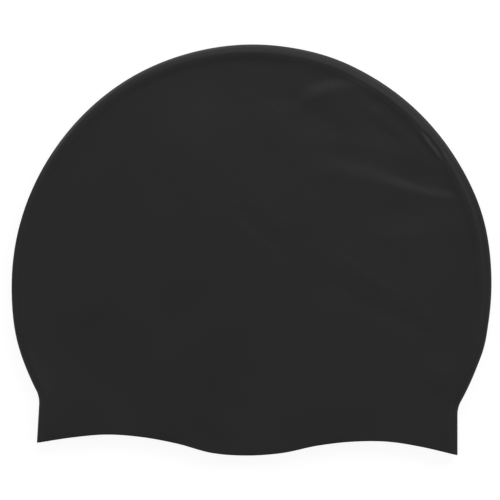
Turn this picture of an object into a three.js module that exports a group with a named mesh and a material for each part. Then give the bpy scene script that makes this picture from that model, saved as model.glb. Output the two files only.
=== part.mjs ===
import * as THREE from 'three';
import { mergeVertices } from 'three/addons/utils/BufferGeometryUtils.js';

// A silicone swim cap lying flat on its side, in the shape that it was moulded in: a hollow
// pouch with a lower and an upper wall, which meet in a rounded fold all round the crown and
// the necks and are open along the wavy mouth. Millimetres, +Z up. X runs across the mouth,
// Y from the mouth to the crown. The lower wall lies on z = 0, and the origin is at the
// middle of the cap's footprint.

// Outline, seen from above
const crownRadius = 112.5; // the crown's outline is nearly a circle
const capLength = 192.6; // from the crown to the tip of the ear lobe
const mouthWidth = 197.2; // from neck to neck at the mouth
const mouthOffset = -2; // the middle of the mouth lies this far to one side of the crown's
const leftNeckLean = THREE.MathUtils.degToRad(3.3); // the left neck spreads towards the mouth
const rightNeckLean = 0;
const neckBlendRadius = 13; // hollow corner between crown and neck
const waveDepth = 9.8; // from the top of the higher mouth arch to the tip of the ear lobe

// Section
const wall = 0.8;
const foldHeight = 10.4; // over both walls, at the fold
const foldReach = 3.8; // from the outline in to the crest of the fold
const foldLean = 0.2; // the fold reaches in further by this share at the right, less at the left
const crestBreadth = 0.4; // the crest is level this far in
const stepReach = 5; // from the crest in, over which the upper wall steps down to its panel
const stepHeight = 0.2; // from the crest of the fold down to the panel
const panelSag = 0.4; // the panel sinks by this from its edge to the crown's centre
const creaseFade = 0.3; // share of its length over which a crease dies out at either end
const creaseSway = 0.012; // the creases wander by this share of the crown's radius
const creaseWaves = 11; // radians of that sway over the crown's radius

// The mouth's edge, from the left corner to the right one: across is a share of the mouth's
// width, down a share of the depth of the wave.
const mouthWave = [
  { across: -6 / 12, down: 0.4 },
  { across: -5 / 12, down: 0.14 },
  { across: -4 / 12, down: 0 },
  { across: -3 / 12, down: 0.12 },
  { across: -2 / 12, down: 0.43 },
  { across: -1 / 12, down: 0.88 },
  { across: 0, down: 1 },
  { across: 1 / 12, down: 0.88 },
  { across: 2 / 12, down: 0.53 },
  { across: 3 / 12, down: 0.34 },
  { across: 4 / 12, down: 0.34 },
  { across: 5 / 12, down: 0.6 },
  { across: 6 / 12, down: 1 },
];

// Slight swells and flats of the crown's outline. Turn is where each one lies, in degrees
// anticlockwise from the right, spread is how far it reaches either way, in degrees, and
// swell is a share of the crown's radius.
const crownSwells = [
  { turn: -15, spread: 4, swell: 0.004 },
  { turn: 17, spread: 10, swell: 0.0045 },
  { turn: 70, spread: 7, swell: 0.002 },
  { turn: 105, spread: 12, swell: -0.002 },
  { turn: 146, spread: 24, swell: -0.005 },
  { turn: 193, spread: 8, swell: 0.005 },
];

// Creases of the upper wall, each along a straight line from x0, y0 to x1, y1. Places, breadths
// and rises are shares of the crown's radius, measured from the crown's centre. Across a crease
// the height is a bell of its breadth times rise + slope x distance to the left of the line, so
// rise makes a ridge or a dip and slope makes one side stand up and the other sink. The lines
// sway a little, as every place is first shifted by a sine of its other coordinate.
const creases = [
  // a broad swell below the crown
  { x0: -0.51, y0: 0.6, x1: 0.29, y1: 0.81, breadth0: 0.22, breadth1: 0.22, rise: 0, slope: -0.025 },
  // right of the crown, from the top down
  { x0: 0.11, y0: 0.71, x1: 0.36, y1: 0.86, breadth0: 0.035, breadth1: 0.035, rise: 0, slope: -0.09 },
  { x0: 0.18, y0: 0.81, x1: 0.57, y1: 0.855, breadth0: 0.035, breadth1: 0.035, rise: 0, slope: -0.11 },
  { x0: 0.18, y0: 0.8, x1: 0.45, y1: 0.62, breadth0: 0.06, breadth1: 0.06, rise: 0, slope: 0.045 },
  { x0: 0.42, y0: 0.74, x1: 0.75, y1: 0.53, breadth0: 0.035, breadth1: 0.035, rise: 0, slope: 0.045 },
  { x0: 0.22, y0: 0.62, x1: 0.74, y1: 0.56, breadth0: 0.07, breadth1: 0.07, rise: 0, slope: -0.02 },
  { x0: 0.54, y0: 0.58, x1: 0.89, y1: 0.42, breadth0: 0.06, breadth1: 0.06, rise: 0, slope: 0.05 },
  { x0: 0.22, y0: 0.53, x1: 0.7, y1: 0.4, breadth0: 0.05, breadth1: 0.05, rise: 0, slope: -0.06 },
  { x0: 0.52, y0: 0.45, x1: 0.92, y1: 0.35, breadth0: 0.03, breadth1: 0.02, rise: 0, slope: -0.13 },
  { x0: 0.44, y0: 0.235, x1: 0.8, y1: 0.26, breadth0: 0.07, breadth1: 0.07, rise: 0, slope: -0.045 },
  { x0: 0.7, y0: 0.26, x1: 0.96, y1: 0.12, breadth0: 0.06, breadth1: 0.06, rise: 0, slope: 0.03 },
  // a furrow near the middle, and a wedge from there to the right neck
  { x0: -0.14, y0: 0.385, x1: 0.23, y1: 0.15, breadth0: 0.045, breadth1: 0.045, rise: 0, slope: 0.04 },
  { x0: 0.08, y0: 0.173, x1: 0.945, y1: -0.28, breadth0: 0.115, breadth1: 0.02, rise: 0, slope: 0.05 },
  // low ridges from the left side to the middle
  { x0: -1.02, y0: -0.21, x1: -0.15, y1: 0.1, breadth0: 0.065, breadth1: 0.065, rise: 0.0016, slope: 0 },
  { x0: -0.46, y0: 0.05, x1: 0.44, y1: 0.04, breadth0: 0.08, breadth1: 0.08, rise: 0.0018, slope: 0 },
  // above the right neck
  { x0: 0.68, y0: -0.33, x1: 0.95, y1: -0.34, breadth0: 0.07, breadth1: 0.07, rise: 0, slope: -0.05 },
];

// How finely the curves are stepped
const neckSteps = 3;
const blendSteps = 3;
const crownSteps = 64;
const mouthSteps = 30;
const foldSteps = 6;
const stepRings = 4;
const panelRings = 8;

const crownCentre = new THREE.Vector2(0, capLength / 2 - crownRadius);

const colour = '#2a2a2b';
const silicone = new THREE.MeshStandardMaterial({ color: colour, roughness: 0.5, metalness: 0 });
silicone.name = 'black_silicone';

// The mouth's edge in plan, a smooth curve through the rows of the wave.
function makeMouthCurve() {
  const points = mouthWave.map(({ across, down }) => new THREE.Vector2(
    mouthOffset + across * mouthWidth,
    waveDepth * (1 - down) - capLength / 2,
  ));
  return new THREE.SplineCurve(points);
}

// The crown's outline between two angles.
class CrownCurve extends THREE.Curve {
  constructor(fromAngle, toAngle) {
    super();
    this.fromAngle = fromAngle;
    this.toAngle = toAngle;
  }

  getPoint(share) {
    const angle = THREE.MathUtils.lerp(this.fromAngle, this.toAngle, share);
    const degrees = THREE.MathUtils.radToDeg(angle);
    let radius = crownRadius;
    for (const { turn, spread, swell } of crownSwells) {
      radius += crownRadius * swell * Math.exp(-(((degrees - turn) / spread) ** 2));
    }
    const reach = new THREE.Vector2(radius * Math.cos(angle), radius * Math.sin(angle));
    return reach.add(crownCentre);
  }
}

// One side of the cap from the mouth's corner up to the crown: the straight neck, then an arc
// that touches both the neck and the crown's circle. Side is 1 on the right, -1 on the left.
function makeNeck(corner, side, lean) {
  const up = new THREE.Vector2(-side * Math.sin(lean), Math.cos(lean));
  const outward = new THREE.Vector2(side * up.y, -side * up.x);
  const start = corner.clone().addScaledVector(outward, neckBlendRadius).sub(crownCentre);
  const reach = crownRadius + neckBlendRadius;
  const along = start.dot(up);
  const rise = -along - Math.sqrt(along * along - start.lengthSq() + reach * reach);
  const blendCentre = start.clone().addScaledVector(up, rise).add(crownCentre);
  const top = corner.clone().addScaledVector(up, rise);
  const crownAngle = blendCentre.clone().sub(crownCentre).angle();
  const neckAngle = outward.clone().negate().angle();
  const line = new THREE.LineCurve(corner, top);
  const blend = new THREE.EllipseCurve(
    blendCentre.x, blendCentre.y, neckBlendRadius, neckBlendRadius,
    neckAngle, crownAngle + Math.PI, side > 0,
  );
  return { line, blend, crownAngle };
}

// The folded outline from the right corner over the crown to the left corner, as points with
// the direction that points out of the cap at each.
function makeFoldOutline(rightCorner, leftCorner) {
  const right = makeNeck(rightCorner, 1, rightNeckLean);
  const left = makeNeck(leftCorner, -1, leftNeckLean);
  const crown = new CrownCurve(right.crownAngle - 2 * Math.PI, left.crownAngle);
  const stretches = [
    { curve: right.line, steps: neckSteps, backwards: false },
    { curve: right.blend, steps: blendSteps, backwards: false },
    { curve: crown, steps: crownSteps, backwards: false },
    { curve: left.blend, steps: blendSteps, backwards: true },
    { curve: left.line, steps: neckSteps, backwards: true },
  ];
  const outline = [];
  for (const { curve, steps, backwards } of stretches) {
    for (let i = outline.length ? 1 : 0; i <= steps; i += 1) {
      const share = backwards ? 1 - i / steps : i / steps;
      const tangent = curve.getTangent(share).multiplyScalar(backwards ? -1 : 1);
      outline.push({ point: curve.getPoint(share), outward: new THREE.Vector2(tangent.y, -tangent.x) });
    }
  }
  return outline;
}

// How full the fold is at a point, as a share of its usual reach.
function foldFullness(point) {
  return 1 + foldLean * (point.x / crownRadius);
}

const mouthCurve = makeMouthCurve();
const leftCorner = mouthCurve.getPoint(0);
const rightCorner = mouthCurve.getPoint(1);
const edgeStart = (foldReach * foldFullness(leftCorner)) / mouthCurve.getLength();
const edgeEnd = 1 - (foldReach * foldFullness(rightCorner)) / mouthCurve.getLength();
const mouthEdge = [];
for (let i = 0; i <= mouthSteps; i += 1) {
  mouthEdge.push(mouthCurve.getPointAt(THREE.MathUtils.lerp(edgeStart, edgeEnd, i / mouthSteps)));
}
const foldOutline = makeFoldOutline(rightCorner, leftCorner);

// Along a neck the fold turns, so that its end lies in the mouth's edge.
function turnFoldToMouth(corner, edgePoint, neck) {
  const alongMouth = corner.clone().sub(edgePoint).normalize();
  neck.forEach(({ outward }, i) => outward.lerp(alongMouth, 1 - i / neckSteps).normalize());
}
turnFoldToMouth(rightCorner, mouthEdge[mouthSteps], foldOutline.slice(0, neckSteps));
turnFoldToMouth(leftCorner, mouthEdge[0], foldOutline.slice(-neckSteps).reverse());

const foldCrest = foldOutline.map(({ point, outward }) => (
  point.clone().addScaledVector(outward, -foldReach * foldFullness(point))
));
foldCrest[0] = mouthEdge[mouthSteps];
foldCrest[foldCrest.length - 1] = mouthEdge[0];

// The rim of either wall: the crest of the fold from right to left, then the mouth's edge back.
const rim = [...foldCrest, ...mouthEdge.slice(1, -1)];

function smoothStep(share) {
  const s = THREE.MathUtils.clamp(share, 0, 1);
  return s * s * (3 - 2 * s);
}

// Distance from the outline in, as a distance at a fold of the usual reach.
function insetOf(point) {
  let nearest = Infinity;
  for (let i = 1; i < foldOutline.length; i += 1) {
    const line = foldOutline[i].point.clone().sub(foldOutline[i - 1].point);
    const offset = point.clone().sub(foldOutline[i - 1].point);
    const share = THREE.MathUtils.clamp(offset.dot(line) / line.lengthSq(), 0, 1);
    nearest = Math.min(nearest, offset.addScaledVector(line, -share).length());
  }
  return nearest / foldFullness(point);
}

function creaseRise(point) {
  const straight = point.clone().sub(crownCentre).divideScalar(crownRadius);
  const sway = new THREE.Vector2(Math.sin(creaseWaves * straight.y), Math.sin(creaseWaves * straight.x));
  const place = straight.addScaledVector(sway, creaseSway);
  let height = 0;
  for (const { x0, y0, x1, y1, breadth0, breadth1, rise, slope } of creases) {
    const line = new THREE.Vector2(x1 - x0, y1 - y0);
    const offset = place.clone().sub(new THREE.Vector2(x0, y0));
    const share = offset.dot(line) / line.lengthSq();
    const breadth = THREE.MathUtils.lerp(breadth0, breadth1, THREE.MathUtils.clamp(share, 0, 1));
    const across = line.cross(offset) / line.length();
    const fade = smoothStep(share / creaseFade) * smoothStep((1 - share) / creaseFade);
    height += fade * (rise + slope * across) * Math.exp(-((across / breadth) ** 2));
  }
  return height * crownRadius;
}

// Height of the upper wall's outside. From the crest of the fold it steps down to the panel,
// which sags towards its middle and carries the creases.
function upperHeight(point) {
  const past = insetOf(point) - foldReach - crestBreadth;
  const onPanel = smoothStep(past / stepReach);
  const sag = panelSag * smoothStep(past / (crownRadius - foldReach));
  return foldHeight - stepHeight * onPanel - sag + onPanel * creaseRise(point);
}

const positions = [];

// Adds the faces between neighbouring points of a grid. They face along the cross product of
// the direction inside a row and the direction from row to row, or against it when flipped.
function addSheet(rows, isLoop, flipped) {
  for (let i = 1; i < rows.length; i += 1) {
    const count = rows[i].length;
    for (let j = isLoop ? 0 : 1; j < count; j += 1) {
      const before = (j + count - 1) % count;
      const corners = [rows[i - 1][before], rows[i - 1][j], rows[i][j], rows[i][before]];
      if (flipped) {
        corners.reverse();
      }
      const [a, b, c, d] = corners;
      for (const face of [[a, b, c], [c, d, a]]) {
        const flat = face[0].equals(face[1]) || face[1].equals(face[2]) || face[2].equals(face[0]);
        if (!flat) {
          face.forEach((corner) => positions.push(corner.x, corner.y, corner.z));
        }
      }
    }
  }
}

// Rings of a wall's surface: 0 is the rim, 1 lies past the step, 2 is the crown's centre.
const lowerRings = [0, 2];
const upperRings = [];
for (let i = 0; i < stepRings; i += 1) {
  upperRings.push(i / stepRings);
}
for (let i = 0; i <= panelRings; i += 1) {
  upperRings.push(1 + i / panelRings);
}

function panelRows(rings, heightAt) {
  return rings.map((ring) => rim.map((point) => {
    const inward = crownCentre.clone().sub(point);
    const step = (stepReach * foldFullness(point)) / inward.length();
    const way = ring < 1 ? ring * step : step + (ring - 1) * (1 - step);
    const place = ring < 2 ? point.clone().addScaledVector(inward, way) : crownCentre;
    return new THREE.Vector3(place.x, place.y, heightAt(place));
  }));
}

// The half round of the fold, one row for each point of the outline, from the upper wall to
// the lower one. Its inside keeps the wall's thickness.
function foldRows(thickness) {
  const middle = foldHeight / 2;
  return foldOutline.map(({ point, outward }, i) => {
    const reach = foldReach * foldFullness(point) - thickness;
    const row = [];
    for (let j = 0; j <= foldSteps; j += 1) {
      const turn = Math.PI * (j / foldSteps);
      const out = j < foldSteps ? reach * Math.sin(turn) : 0;
      const place = foldCrest[i].clone().addScaledVector(outward, out);
      row.push(new THREE.Vector3(place.x, place.y, middle + (middle - thickness) * Math.cos(turn)));
    }
    return row;
  });
}

// The edge of one skin at the mouth: along the upper wall, round the right fold, back along
// the lower wall and round the left fold.
function mouthLoop(fold, upperAt, lowerAt) {
  const upper = mouthEdge.map((point) => new THREE.Vector3(point.x, point.y, upperAt(point)));
  const lower = mouthEdge.map((point) => new THREE.Vector3(point.x, point.y, lowerAt(point)));
  const rightFold = fold[0].slice(1, -1);
  const leftFold = fold[fold.length - 1].slice(1, -1);
  return [...upper, ...rightFold, ...lower.reverse(), ...leftFold.reverse()];
}

const innerUpperHeight = (point) => upperHeight(point) - wall;
const lowerHeight = () => 0;
const innerLowerHeight = () => wall;

const outerFold = foldRows(0);
const innerFold = foldRows(wall);
addSheet(panelRows(upperRings, upperHeight), true, false);
addSheet(outerFold, false, false);
addSheet(panelRows(lowerRings, lowerHeight), true, true);
addSheet(panelRows(upperRings, innerUpperHeight), true, true);
addSheet(innerFold, false, true);
addSheet(panelRows(lowerRings, innerLowerHeight), true, false);
addSheet([
  mouthLoop(outerFold, upperHeight, lowerHeight),
  mouthLoop(innerFold, innerUpperHeight, innerLowerHeight),
], true, true);

const soup = new THREE.BufferGeometry();
soup.setAttribute('position', new THREE.Float32BufferAttribute(positions, 3));
const geometry = mergeVertices(soup);
geometry.computeVertexNormals();

const capShell = new THREE.Mesh(geometry, silicone);
capShell.name = 'cap_shell';

const group = new THREE.Group();
group.add(capShell);

export default group;
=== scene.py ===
import math

import bmesh
import bpy
import numpy as np
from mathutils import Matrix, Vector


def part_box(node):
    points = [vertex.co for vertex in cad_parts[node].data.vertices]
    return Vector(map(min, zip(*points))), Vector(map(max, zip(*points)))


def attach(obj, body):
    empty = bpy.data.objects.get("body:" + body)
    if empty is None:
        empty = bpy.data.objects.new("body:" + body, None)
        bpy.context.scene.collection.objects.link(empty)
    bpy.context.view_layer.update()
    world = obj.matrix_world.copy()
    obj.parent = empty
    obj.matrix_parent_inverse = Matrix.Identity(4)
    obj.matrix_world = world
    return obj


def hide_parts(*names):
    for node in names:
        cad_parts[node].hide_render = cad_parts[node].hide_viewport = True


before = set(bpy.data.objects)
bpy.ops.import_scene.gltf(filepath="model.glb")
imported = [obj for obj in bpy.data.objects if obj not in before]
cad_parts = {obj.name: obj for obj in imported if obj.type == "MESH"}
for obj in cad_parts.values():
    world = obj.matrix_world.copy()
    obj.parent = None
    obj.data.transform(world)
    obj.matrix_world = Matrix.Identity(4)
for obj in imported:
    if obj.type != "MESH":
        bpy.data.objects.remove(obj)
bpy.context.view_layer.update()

# Camera. The cap is laid out flat and is seen from straight above, a little off its own
# middle, from far enough away that its edge shows no perspective.
view_width = 0.234375
view_height = 0.0052
view_middle = (-0.0007, -0.00016)
camera_data = bpy.data.cameras.new("overhead_camera")
camera_data.lens = 400
camera_data.sensor_width = 36
camera = bpy.data.objects.new("overhead_camera", camera_data)
camera_rise = view_width * camera_data.lens / camera_data.sensor_width
camera.location = (*view_middle, view_height + camera_rise)
bpy.context.scene.collection.objects.link(camera)
bpy.context.scene.camera = camera


# Cap shell. The cap is one piece of silicone rubber, moulded as a hollow pouch: a lower and
# an upper wall that meet in a rounded fold over the crown and down both necks, with a low step
# inside the fold, and a wavy mouth whose edge is trimmed and slightly rounded.
mm = 0.001
cad_low, cad_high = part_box("cap_shell")
cap_length = cad_high.y - cad_low.y
fold_height = cad_high.z - cad_low.z

# The outline in plan
crown_radius = 112.5 * mm
crown_centre = np.array([0, cap_length / 2 - crown_radius])
mouth_width = 197.2 * mm
mouth_offset = -2 * mm
wave_depth = 9.8 * mm
left_neck_lean = math.radians(3.3)
right_neck_lean = 0
neck_blend_radius = 13 * mm

# The walls and the fold, which reaches out past its crest, further on the right than the left
wall = 0.8 * mm
fold_reach = 3.8 * mm
fold_lean = 0.2
crest_breadth = 0.4 * mm
lip_bulge = 0.12 * mm

# The upper wall inside the fold: the low step, the fine line in it, which fades out towards the
# mouth, and the sag of the panel
step_reach = 5 * mm
step_height = 0.2 * mm
line_inset = 1.7 * mm
line_breadth = 0.8 * mm
line_height = 0.09 * mm
fade_low, fade_high = -50 * mm, 10 * mm
panel_sag = 0.4 * mm

# The mouth's edge at even steps from the left corner to the right one, as shares of the
# depth of the wave
mouth_wave = [0.4, 0.14, 0, 0.12, 0.43, 0.88, 1, 0.88, 0.53, 0.34, 0.34, 0.6, 1]

# Slight swells and flats of the crown's outline: the turn in degrees from the right, how far
# each reaches either way in degrees, and its height as a share of the crown's radius
crown_swells = [
    {"turn": -15, "spread": 4, "swell": 0.004},
    {"turn": 17, "spread": 10, "swell": 0.0045},
    {"turn": 70, "spread": 7, "swell": 0.002},
    {"turn": 105, "spread": 12, "swell": -0.002},
    {"turn": 146, "spread": 24, "swell": -0.005},
    {"turn": 193, "spread": 8, "swell": 0.005},
]

# Creases of the upper wall along straight lines, from the crown's centre. Places, breadths and
# rises are shares of the crown's radius. Rise makes a ridge or a dip, and slope makes one side of
# the line stand up and the other sink. Each fades out over a share of its line at both ends, and
# all of them sway along a sine.
crease_fade = 0.3
crease_sway = 0.012
crease_waves = 11
creases = [
    {"line": (-0.51, 0.6, 0.29, 0.81), "breadth": (0.22, 0.22), "rise": 0, "slope": -0.025},
    {"line": (0.11, 0.71, 0.36, 0.86), "breadth": (0.035, 0.035), "rise": 0, "slope": -0.09},
    {"line": (0.18, 0.81, 0.57, 0.855), "breadth": (0.035, 0.035), "rise": 0, "slope": -0.11},
    {"line": (0.18, 0.8, 0.45, 0.62), "breadth": (0.06, 0.06), "rise": 0, "slope": 0.045},
    {"line": (0.42, 0.74, 0.75, 0.53), "breadth": (0.035, 0.035), "rise": 0, "slope": 0.045},
    {"line": (0.22, 0.62, 0.74, 0.56), "breadth": (0.07, 0.07), "rise": 0, "slope": -0.02},
    {"line": (0.54, 0.58, 0.89, 0.42), "breadth": (0.06, 0.06), "rise": 0, "slope": 0.05},
    {"line": (0.22, 0.53, 0.7, 0.4), "breadth": (0.05, 0.05), "rise": 0, "slope": -0.06},
    {"line": (0.52, 0.45, 0.92, 0.35), "breadth": (0.03, 0.02), "rise": 0, "slope": -0.13},
    {"line": (0.44, 0.235, 0.8, 0.26), "breadth": (0.07, 0.07), "rise": 0, "slope": -0.045},
    {"line": (0.7, 0.26, 0.96, 0.12), "breadth": (0.06, 0.06), "rise": 0, "slope": 0.03},
    {"line": (-0.14, 0.385, 0.23, 0.15), "breadth": (0.045, 0.045), "rise": 0, "slope": 0.04},
    {"line": (0.08, 0.173, 0.945, -0.28), "breadth": (0.115, 0.02), "rise": 0, "slope": 0.05},
    {"line": (-1.02, -0.21, -0.15, 0.1), "breadth": (0.065, 0.065), "rise": 0.0016, "slope": 0},
    {"line": (-0.46, 0.05, 0.44, 0.04), "breadth": (0.08, 0.08), "rise": 0.0018, "slope": 0},
    {"line": (0.68, -0.33, 0.95, -0.34), "breadth": (0.07, 0.07), "rise": 0, "slope": -0.05},
]

# How finely the surfaces are stepped: along the outline and the mouth, round the fold and the
# lip, and inwards over the step and the panel
neck_steps = 16
blend_steps = 10
crown_steps = 320
mouth_steps = 170
fine_steps = 4000
fold_steps = 12
lip_steps = 4
upper_rings = (16, 80)
inner_rings = (6, 14)
lower_rings = (6, 8)


def smooth_step(share):
    """Rises from 0 to 1 as share does, level at both ends."""
    share = np.clip(share, 0, 1)
    return share * share * (3 - 2 * share)


def unit(vectors):
    """The same directions with length 1."""
    return vectors / np.linalg.norm(vectors, axis=-1, keepdims=True)


def mouth_curve(share):
    """The mouth's edge in plan at shares 0 to 1 of its knots: a cubic through the knots of the
    wave, whose slope at a knot is half the step between the knots beside it."""
    knots = np.stack([
        mouth_offset + mouth_width * np.linspace(-0.5, 0.5, len(mouth_wave)),
        wave_depth * (1 - np.array(mouth_wave)) - cap_length / 2,
    ], axis=1)
    padded = np.concatenate([knots[:1], knots, knots[-1:]])
    slopes = (padded[2:] - padded[:-2]) / 2
    place = share * (len(knots) - 1)
    knot = np.minimum(place.astype(int), len(knots) - 2)
    t = (place - knot)[:, None]
    return (
        (2 * t**3 - 3 * t**2 + 1) * knots[knot] + (t**3 - 2 * t**2 + t) * slopes[knot]
        + (3 * t**2 - 2 * t**3) * knots[knot + 1] + (t**3 - t**2) * slopes[knot + 1]
    )


def crown_points(angles):
    """The crown's outline at some angles: a circle with a bell-shaped swell at each turn."""
    degrees = np.degrees(angles)
    radius = np.full(len(angles), crown_radius)
    for row in crown_swells:
        bell = np.exp(-(((degrees - row["turn"]) / row["spread"]) ** 2))
        radius = radius + crown_radius * row["swell"] * bell
    return crown_centre + radius[:, None] * np.stack([np.cos(angles), np.sin(angles)], axis=1)


def neck(corner, side, lean):
    """The neck from the mouth's corner to the crown, as points, and the angle on the crown
    where it ends: a straight line, then an arc that touches the line and the crown's circle."""
    up = np.array([-side * math.sin(lean), math.cos(lean)])
    out = np.array([side * up[1], -side * up[0]])
    start = corner + out * neck_blend_radius - crown_centre
    centre_distance = crown_radius + neck_blend_radius
    along = start @ up
    rise = -along - math.sqrt(along * along - start @ start + centre_distance * centre_distance)
    middle = start + up * rise
    crown_angle = math.atan2(middle[1], middle[0])
    neck_angle = math.atan2(-out[1], -out[0])
    turn = (crown_angle + math.pi - neck_angle + math.pi) % (2 * math.pi) - math.pi
    angles = neck_angle + turn * np.linspace(0, 1, blend_steps + 1)
    arc = np.stack([np.cos(angles), np.sin(angles)], axis=1) * neck_blend_radius
    line = corner + up * rise * np.linspace(0, 1, neck_steps + 1)[:, None]
    return np.concatenate([line, (middle + crown_centre + arc)[1:]]), crown_angle


def fold_fullness(points):
    """How full the fold is at a point, 1 + lean x / crown radius, as a share of its reach."""
    return 1 + fold_lean * points[..., 0] / crown_radius


def inset_of(points):
    """Each point's distance from the nearest stretch of the outline, over the fold's fullness
    there."""
    starts = outline[:-1]
    lines = outline[1:] - starts
    away = points[:, None] - starts
    share = np.clip((away * lines).sum(-1) / (lines * lines).sum(-1), 0, 1)
    nearest = np.linalg.norm(away - share[..., None] * lines, axis=-1).min(1)
    return nearest / fold_fullness(points)


def crease_rise(points):
    """The creases' height: for each line (rise + slope d) exp(-(d / breadth)^2) in crown radii,
    where d is the distance to the left of the line, faded out towards both its ends. The lines
    sway a little, since x and y first shift by a sine of each other."""
    place = (points - crown_centre) / crown_radius
    place = place + crease_sway * np.sin(crease_waves * place[..., ::-1])
    height = np.zeros(points.shape[:-1])
    for row in creases:
        ends = np.array(row["line"])
        line = ends[2:] - ends[:2]
        offset = place - ends[:2]
        share = offset @ line / (line @ line)
        breadth = np.interp(share, [0, 1], row["breadth"])
        across = (line[0] * offset[..., 1] - line[1] * offset[..., 0]) / np.linalg.norm(line)
        fade = smooth_step(share / crease_fade) * smooth_step((1 - share) / crease_fade)
        height += fade * (row["rise"] + row["slope"] * across) * np.exp(-((across / breadth) ** 2))
    return height * crown_radius


def upper_height(points, inset):
    """The upper wall's outside: the fold's crest, a low step down to the panel with a fine line
    in it, and the panel with its sag towards the middle and its creases."""
    past = inset - fold_reach - crest_breadth
    over_step = smooth_step(past / step_reach)
    line = line_height * smooth_step((past - line_inset) / line_breadth)
    fading = smooth_step((points[..., 1] - fade_low) / (fade_high - fade_low))
    sag = panel_sag * smooth_step(past / (crown_radius - fold_reach))
    return fold_height - step_height * over_step - line * fading - sag + over_step * crease_rise(points)


# The plan: the fold's outline from the right corner over the crown to the left one, the
# direction out of the cap at each of its points, and the mouth's edge between the folds
fine_share = np.linspace(0, 1, fine_steps + 1)
fine_mouth = mouth_curve(fine_share)
fine_length = np.append(0, np.cumsum(np.linalg.norm(np.diff(fine_mouth, axis=0), axis=1)))
left_corner, right_corner = fine_mouth[0], fine_mouth[-1]
edge_start = fold_reach * fold_fullness(left_corner)
edge_end = fine_length[-1] - fold_reach * fold_fullness(right_corner)
edge_length = np.linspace(edge_start, edge_end, mouth_steps + 1)
mouth_edge = mouth_curve(np.interp(edge_length, fine_length, fine_share))

right_neck, right_angle = neck(right_corner, 1, right_neck_lean)
left_neck, left_angle = neck(left_corner, -1, left_neck_lean)
crown_angles = np.linspace(right_angle, left_angle + 2 * math.pi, crown_steps + 1)
outline = np.concatenate([right_neck, crown_points(crown_angles)[1:-1], left_neck[::-1]])
along = np.gradient(outline, axis=0)
outward = unit(np.stack([along[:, 1], -along[:, 0]], axis=1))

# Down each neck the fold turns until it runs on along the mouth's edge
turn_share = np.linspace(1, 0, neck_steps + 1)[:, None]
right_mouth = unit(right_corner - mouth_edge[-1])
left_mouth = unit(left_corner - mouth_edge[0])
right_end = slice(0, neck_steps + 1)
left_end = slice(-neck_steps - 1, None)
outward[right_end] = unit(outward[right_end] * (1 - turn_share) + right_mouth * turn_share)
outward[left_end] = unit(outward[left_end] * turn_share + left_mouth * (1 - turn_share))
reach = fold_reach * fold_fullness(outline)
crest = outline - outward * reach[:, None]
crest[0], crest[-1] = mouth_edge[-1], mouth_edge[0]
rim = np.concatenate([crest, mouth_edge[1:-1]])


def panel_plan(step_rings, panel_rings):
    """Rings in plan that follow the rim, even over the step and then even to the crown's
    centre, and each ring's distance from the fold's outline."""
    inward = crown_centre - rim
    step = step_reach * fold_fullness(rim) / np.linalg.norm(inward, axis=1)
    step = step[:, None]
    over_step = [step * share for share in np.linspace(0, 1, step_rings + 1)[:-1]]
    to_centre = [step + (1 - step) * share for share in np.linspace(0, 1, panel_rings + 1)]
    plan = np.array([rim + inward * way for way in over_step + to_centre])
    return plan, np.array([inset_of(ring) for ring in plan])


def with_height(plan, height):
    """Points in plan raised to a height, one for all or one each."""
    return np.concatenate([plan, np.broadcast_to(height, plan.shape[:-1])[..., None]], axis=-1)


def fold_skin(thickness):
    """The fold's half round, one row for each point of the outline: an arc from the upper wall
    to the lower one, pulled in by the wall's thickness for the inside."""
    turn = np.linspace(0, math.pi, fold_steps + 1)
    middle = fold_height / 2
    out = (reach[:, None] - thickness) * np.sin(turn)
    place = crest[:, None] + outward[:, None] * out[..., None]
    return with_height(place, middle + (middle - thickness) * np.cos(turn))


def mouth_loop(upper_panel, fold, lower_panel):
    """One skin's edge at the mouth: along the upper wall, round the right fold, back along the
    lower wall and round the left fold."""
    edge = [len(crest) - 1, *range(len(crest), len(rim)), 0]
    return np.concatenate([
        upper_panel[0, edge], fold[0, 1:-1], lower_panel[0, edge][::-1], fold[-1, -2:0:-1],
    ])


def lip_skin(outer_loop, inner_loop):
    """The trimmed edge between the two skins: half an ellipse that stands out past the edge,
    square to the mouth's curve."""
    slope = np.gradient(mouth_edge, axis=0)
    out = unit(np.stack([slope[:, 1], -slope[:, 0]], axis=1))
    right_fold = np.repeat(out[-1:], fold_steps - 1, 0)
    left_fold = np.repeat(out[:1], fold_steps - 1, 0)
    ahead = with_height(np.concatenate([out, right_fold, out[::-1], left_fold]), 0)
    middle, half = (outer_loop + inner_loop) / 2, (outer_loop - inner_loop) / 2
    turns = np.linspace(0, math.pi, lip_steps + 1)
    return np.array([middle + half * np.cos(t) + ahead * lip_bulge * np.sin(t) for t in turns])


def sheet_faces(rows, columns, is_loop, flipped):
    """Four-sided faces between neighbouring points of a grid of rows and columns."""
    row = np.arange(rows - 1)[:, None]
    column = np.arange(columns if is_loop else columns - 1)
    after = (column + 1) % columns
    corners = [
        row * columns + column, row * columns + after,
        (row + 1) * columns + after, (row + 1) * columns + column,
    ]
    if flipped:
        corners.reverse()
    return np.stack(corners, axis=-1).reshape(-1, 4)


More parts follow.
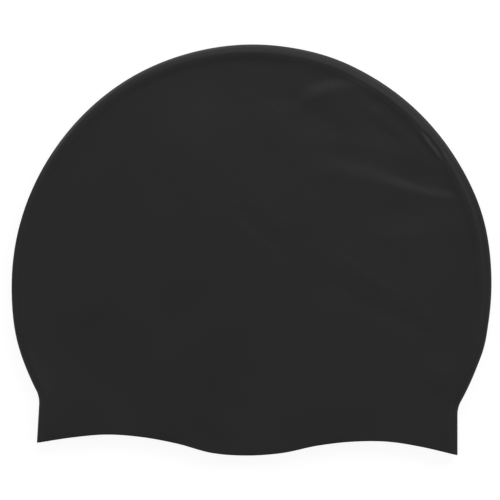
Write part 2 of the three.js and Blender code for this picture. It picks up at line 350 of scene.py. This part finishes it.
def closed_piece(name, sheets):
    """One closed mesh from several grids of points. The edges that they share are welded, and
    the slivers where a grid runs together in one point are taken out."""
    points, faces, count = [], [], 0
    for grid, is_loop, flipped in sheets:
        faces.append(sheet_faces(grid.shape[0], grid.shape[1], is_loop, flipped) + count)
        points.append(grid.reshape(-1, 3))
        count += grid.shape[0] * grid.shape[1]
    mesh = bpy.data.meshes.new(name)
    mesh.from_pydata(np.concatenate(points).tolist(), [], np.concatenate(faces).tolist())
    welded = bmesh.new()
    welded.from_mesh(mesh)
    bmesh.ops.remove_doubles(welded, verts=welded.verts, dist=0.002 * mm)
    bmesh.ops.dissolve_degenerate(welded, edges=welded.edges, dist=0.001 * mm)
    welded.to_mesh(mesh)
    welded.free()
    mesh.shade_smooth()
    piece = bpy.data.objects.new(name, mesh)
    bpy.context.scene.collection.objects.link(piece)
    return piece


upper_plan, upper_inset = panel_plan(*upper_rings)
upper_outer = with_height(upper_plan, upper_height(upper_plan, upper_inset))
inner_plan, inner_inset = panel_plan(*inner_rings)
upper_inner = with_height(inner_plan, upper_height(inner_plan, inner_inset) - wall)
lower_plan = panel_plan(*lower_rings)[0]
lower_outer = with_height(lower_plan, 0)
lower_inner = with_height(lower_plan, wall)
outer_fold, inner_fold = fold_skin(0), fold_skin(wall)
lip = lip_skin(
    mouth_loop(upper_outer, outer_fold, lower_outer),
    mouth_loop(upper_inner, inner_fold, lower_inner),
)
cap = closed_piece("cap_skin", [
    (upper_outer, True, False), (outer_fold, False, False), (lower_outer, True, True),
    (upper_inner, True, True), (inner_fold, False, True), (lower_inner, True, False),
    (lip, True, True),
])

# The rubber's finish. Colours are linear, a noise's scale is its cells to the metre, and each
# fine relief of the surface is given by its height.
rubber_black = (0.0236, 0.0237, 0.0240, 1)
# The paler black serves both the random talc mottling and the patches of painted light
talc_and_painted_light_black = (0.0300, 0.0300, 0.0302, 1)
mottling_scale, mottling_talc, mottling_roughness = 38, 0.4, 0.06
smudge_scale, smudge_shine = 70, 0.05
face_roughness, side_roughness = 0.45, 0.4
grain_scale, grain_height = 2600, 0.008 * mm
ripple_scale, ripple_height = 260, 0.02 * mm
wrinkle_scale, wrinkle_height = 330, 0.08 * mm
wrinkle_patch_scale = 24
rubber_looks = {
    "IOR": 1.42, "Specular IOR Level": 0.35, "Sheen Weight": 0.05, "Sheen Roughness": 0.4,
}

# Painted light: patches on the upper panel and the necks painted a little paler where the rubber should
# catch more light, each a bell from its middle
painted_light_patches = [
    {"x": -0.018, "y": 0.054, "breadth": 0.050, "strength": 0.5},
    {"x": 0.064, "y": 0.046, "breadth": 0.042, "strength": 0.55},
    {"x": -0.099, "y": -0.063, "breadth": 0.018, "strength": 0.7},
    {"x": 0.102, "y": -0.044, "breadth": 0.018, "strength": 0.35},
]

# Fine creases, too narrow for the mesh, which the surface's bump carries in the same way. They
# sway by a soft noise.
fine_sway = 0.03
fine_sway_scales = (45, 50)
fine_creases = [
    {"line": (0.144, 0.109, 0.485, -0.083), "breadth": 0.014, "slope": -0.034},
    {"line": (0.277, 0.192, 0.681, -0.066), "breadth": 0.014, "slope": -0.027},
    {"line": (-0.106, 0.313, 0.177, 0.072), "breadth": 0.016, "slope": -0.03},
    {"line": (-0.106, 0.851, 0.144, 0.713), "breadth": 0.018, "slope": -0.03},
    {"line": (-0.215, 0.618, -0.106, 0.476), "breadth": 0.014, "slope": -0.03},
    {"line": (-0.106, 0.497, -0.015, 0.318), "breadth": 0.016, "slope": -0.028},
    {"line": (-0.515, 0.497, -0.369, 0.322), "breadth": 0.016, "slope": -0.03},
    {"line": (-0.281, 0.343, -0.106, 0.355), "breadth": 0.01, "slope": 0.05},
    {"line": (-0.123, 0.363, -0.006, 0.33), "breadth": 0.012, "slope": -0.045},
    {"line": (0.15, 0.125, 0.29, 0.205), "breadth": 0.014, "slope": -0.06},
    {"line": (0.477, 0.73, 0.594, 0.743), "breadth": 0.028, "slope": -0.045},
    {"line": (0.16, 0.8, 0.54, 0.86), "breadth": 0.06, "slope": -0.06},
    {"line": (0.2, 0.53, 0.94, 0.36), "breadth": 0.06, "slope": -0.03},
    {"line": (0.369, 0.443, 0.598, 0.393), "breadth": 0.02, "slope": 0.025},
    {"line": (0.19, 0.468, 0.248, 0.643), "breadth": 0.03, "slope": 0.06},
    {"line": (-0.902, -0.345, -0.773, -0.483), "breadth": 0.01, "slope": 0.05},
    {"line": (-0.79, -0.212, -0.598, -0.066), "breadth": 0.04, "slope": 0.03},
    {"line": (-0.748, -0.499, -0.565, -0.533), "breadth": 0.03, "slope": 0.036},
    {"line": (-0.298, -0.558, -0.027, -0.658), "breadth": 0.05, "slope": 0.03},
    {"line": (0.244, -0.545, 0.556, -0.545), "breadth": 0.05, "slope": 0.03},
    {"line": (0.7, 0.645, 0.796, 0.512), "breadth": 0.013, "slope": -0.37},
]


class Field:
    """A shader socket that takes part in Python sums and products."""

    def __init__(self, tree, socket):
        self.tree = tree
        self.socket = socket

    def node(self, kind, settings, inputs, output=0):
        """Adds a node of a kind with its settings, then its sockets' values or links, and
        returns one of its outputs."""
        made = self.tree.nodes.new(kind)
        for name, value in settings.items():
            setattr(made, name, value)
        for name, value in inputs.items():
            if isinstance(value, Field):
                self.tree.links.new(value.socket, made.inputs[name])
            else:
                made.inputs[name].default_value = value
        return Field(self.tree, made.outputs[output])

    def sum_node(self, operation, first, second):
        """A sum or product of two numbers, each a socket or a plain value."""
        return self.node("ShaderNodeMath", {"operation": operation}, {0: first, 1: second})

    def __add__(self, other):
        return self.sum_node("ADD", self, other)

    def __sub__(self, other):
        return self.sum_node("SUBTRACT", self, other)

    def __mul__(self, other):
        return self.sum_node("MULTIPLY", self, other)

    def __truediv__(self, other):
        return self.sum_node("DIVIDE", self, other)

    def __rsub__(self, other):
        return self.sum_node("SUBTRACT", other, self)

    __radd__ = __add__
    __rmul__ = __mul__

    def exponential(self):
        """e to the power of this."""
        return self.sum_node("EXPONENT", self, 0)

    def noise(self, scale, detail):
        """Soft noise from 0 to 1 over the piece, with scale cells to the metre."""
        return self.node("ShaderNodeTexNoise", {}, {"Vector": self, "Scale": scale, "Detail": detail})

    def axis(self, number):
        """One coordinate of a place: 0, 1 or 2 for x, y or z."""
        return self.node("ShaderNodeSeparateXYZ", {}, {"Vector": self}, number)

    def bell(self, x, y, breadth):
        """exp(-(d / breadth)^2), where d is the distance in plan from a place."""
        from_x, from_y = self.axis(0) - x, self.axis(1) - y
        return ((from_x * from_x + from_y * from_y) * (-1 / breadth**2)).exponential()

    def between(self, low, high):
        """0 below low, 1 above high, and a smooth rise between them."""
        inputs = {"Value": self, "From Min": low, "From Max": high}
        return self.node("ShaderNodeMapRange", {"interpolation_type": "SMOOTHSTEP"}, inputs)


def fine_crease_rise(place):
    """The fine creases' height on the upper wall, the sum of slope d exp(-(d / breadth)^2), where
    d is the distance to the left of a crease's line."""
    x = (place.axis(0) - float(crown_centre[0])) / crown_radius
    y = (place.axis(1) - float(crown_centre[1])) / crown_radius
    x = x + (place.noise(fine_sway_scales[0], 1) - 0.5) * fine_sway
    y = y + (place.noise(fine_sway_scales[1], 1) - 0.5) * fine_sway
    rises = []
    for row in fine_creases:
        x0, y0, x1, y1 = row["line"]
        length = math.hypot(x1 - x0, y1 - y0)
        along_x, along_y = (x1 - x0) / length, (y1 - y0) / length
        share = ((x - x0) * along_x + (y - y0) * along_y) / length
        across = (y - y0) * along_x - (x - x0) * along_y
        bell = (across * across * (-1 / row["breadth"] ** 2)).exponential()
        fade = share.between(0, crease_fade) * (1 - share).between(0, crease_fade)
        rises.append(across * bell * fade * row["slope"])
    upper = place.axis(2).between(fold_height * 0.5, fold_height * 0.8)
    return sum(rises) * upper * crown_radius


def black_silicone():
    """Matte black silicone rubber: near-black with slight mottling and paler patches of painted light,
    a fine moulded grain, and handling marks that are a little smoother than the rest."""
    material = bpy.data.materials.new("black_silicone")
    material.use_nodes = True
    tree = material.node_tree
    shader = tree.nodes["Principled BSDF"]
    place = Field(tree, tree.nodes.new("ShaderNodeTexCoord").outputs["Object"])
    mottling = place.noise(mottling_scale, 4)
    # The base colour grows paler with the random talc mottling and, as painted light, in bell patches
    # where the rubber should catch more light
    talc_and_painted_light = mottling_talc * mottling.between(0.3, 0.7)
    for row in painted_light_patches:
        talc_and_painted_light = talc_and_painted_light + row["strength"] * place.bell(row["x"], row["y"], row["breadth"])
    colours = {"Factor": talc_and_painted_light, 6: rubber_black, 7: talc_and_painted_light_black}
    shade = place.node("ShaderNodeMix", {"data_type": "RGBA"}, colours, 2)
    smudges = place.noise(smudge_scale, 3).between(0.5, 0.7)
    side = 1 - place.axis(2).between(fold_height * 0.6, fold_height * 0.95)
    roughness = (
        face_roughness + mottling_roughness * mottling - smudge_shine * smudges
        + side_roughness * side
    )
    wrinkles = place.noise(wrinkle_scale, 3) * place.noise(wrinkle_patch_scale, 2).between(0.52, 0.68)
    grain = place.noise(grain_scale, 2)
    ripple = place.noise(ripple_scale, 2)
    relief = grain_height * grain + ripple_height * ripple + wrinkle_height * wrinkles
    height = fine_crease_rise(place) + relief
    bump = place.node("ShaderNodeBump", {}, {"Strength": 1, "Distance": 1, "Height": height})
    for name, value in {"Base Color": shade, "Roughness": roughness, "Normal": bump}.items():
        tree.links.new(value.socket, shader.inputs[name])
    for name, value in rubber_looks.items():
        shader.inputs[name].default_value = value
    return material


cap.data.materials.append(black_silicone())
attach(cap, "root")
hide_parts("cap_shell")


# Floor. A plain white table under the cap, wide enough to fill every view. It glows a little,
# so that the cap's shadow on it stays faint. It is laid in two halves that meet under the
# crown, and only the half behind the crown is mirrored in the rubber's edge.
floor_reach = 100
floor_split = 0.05
floor_level = cad_low.z - 0.2 * mm
floor_looks = {
    "Base Color": (0.2, 0.2, 0.2, 1), "Roughness": 0.9, "Specular IOR Level": 0,
    "Emission Color": (1, 1, 1, 1), "Emission Strength": 0.91,
}
floor_material = bpy.data.materials.new("white_table")
floor_material.use_nodes = True
for name, value in floor_looks.items():
    floor_material.node_tree.nodes["Principled BSDF"].inputs[name].default_value = value


def floor_half(name, low, high):
    """A flat half of the table's top, from low to high along Y."""
    mesh = bpy.data.meshes.new(name)
    mesh.from_pydata([
        (-floor_reach, low, floor_level), (floor_reach, low, floor_level),
        (floor_reach, high, floor_level), (-floor_reach, high, floor_level),
    ], [], [(0, 1, 2, 3)])
    mesh.materials.append(floor_material)
    half = bpy.data.objects.new(name, mesh)
    bpy.context.scene.collection.objects.link(half)
    return half


floor_half("floor_behind", floor_split, floor_reach)
floor_half("floor_before", -floor_reach, floor_split).visible_glossy = False


# Light. Large soft boxes stand low round the table, the strongest behind the crown, and the
# sky over it is dim, so that the folds catch light and the flat walls stay black.
lights = [
    {"name": "crown_box", "turn": 76, "rise": 42, "away": 2.4, "width": 2.8, "power": 31},
    {"name": "right_box", "turn": -5, "rise": 35, "away": 1.6, "width": 1.1, "power": 1.3},
    {"name": "left_box", "turn": 175, "rise": 35, "away": 1.6, "width": 1.1, "power": 2.8},
    {"name": "mouth_box", "turn": 270, "rise": 18, "away": 1.6, "width": 1.1, "power": 6},
    {"name": "small_box", "turn": 40, "rise": 52, "away": 1.6, "width": 0.2, "power": 1.5},
]
sky_brightness = 0.12


def add_light(name, turn, rise, away, width, power):
    """A square area light at a turn round the cap and a rise above the table, facing it."""
    data = bpy.data.lights.new(name, "AREA")
    data.shape = "SQUARE"
    data.size = width
    data.energy = power
    lamp = bpy.data.objects.new(name, data)
    turn, rise = math.radians(turn), math.radians(rise)
    lamp.location = (
        away * math.cos(rise) * math.cos(turn),
        away * math.cos(rise) * math.sin(turn),
        away * math.sin(rise),
    )
    lamp.rotation_euler = (math.pi / 2 - rise, 0, turn + math.pi / 2)
    bpy.context.scene.collection.objects.link(lamp)


for row in lights:
    add_light(**row)

sky = bpy.data.worlds.new("dim_studio")
sky.use_nodes = True
sky.node_tree.nodes["Background"].inputs["Color"].default_value = (1, 1, 1, 1)
sky.node_tree.nodes["Background"].inputs["Strength"].default_value = sky_brightness
bpy.context.scene.world = sky
bpy.context.scene.view_settings.view_transform = "Standard"
bpy.context.scene.view_settings.look = "None"
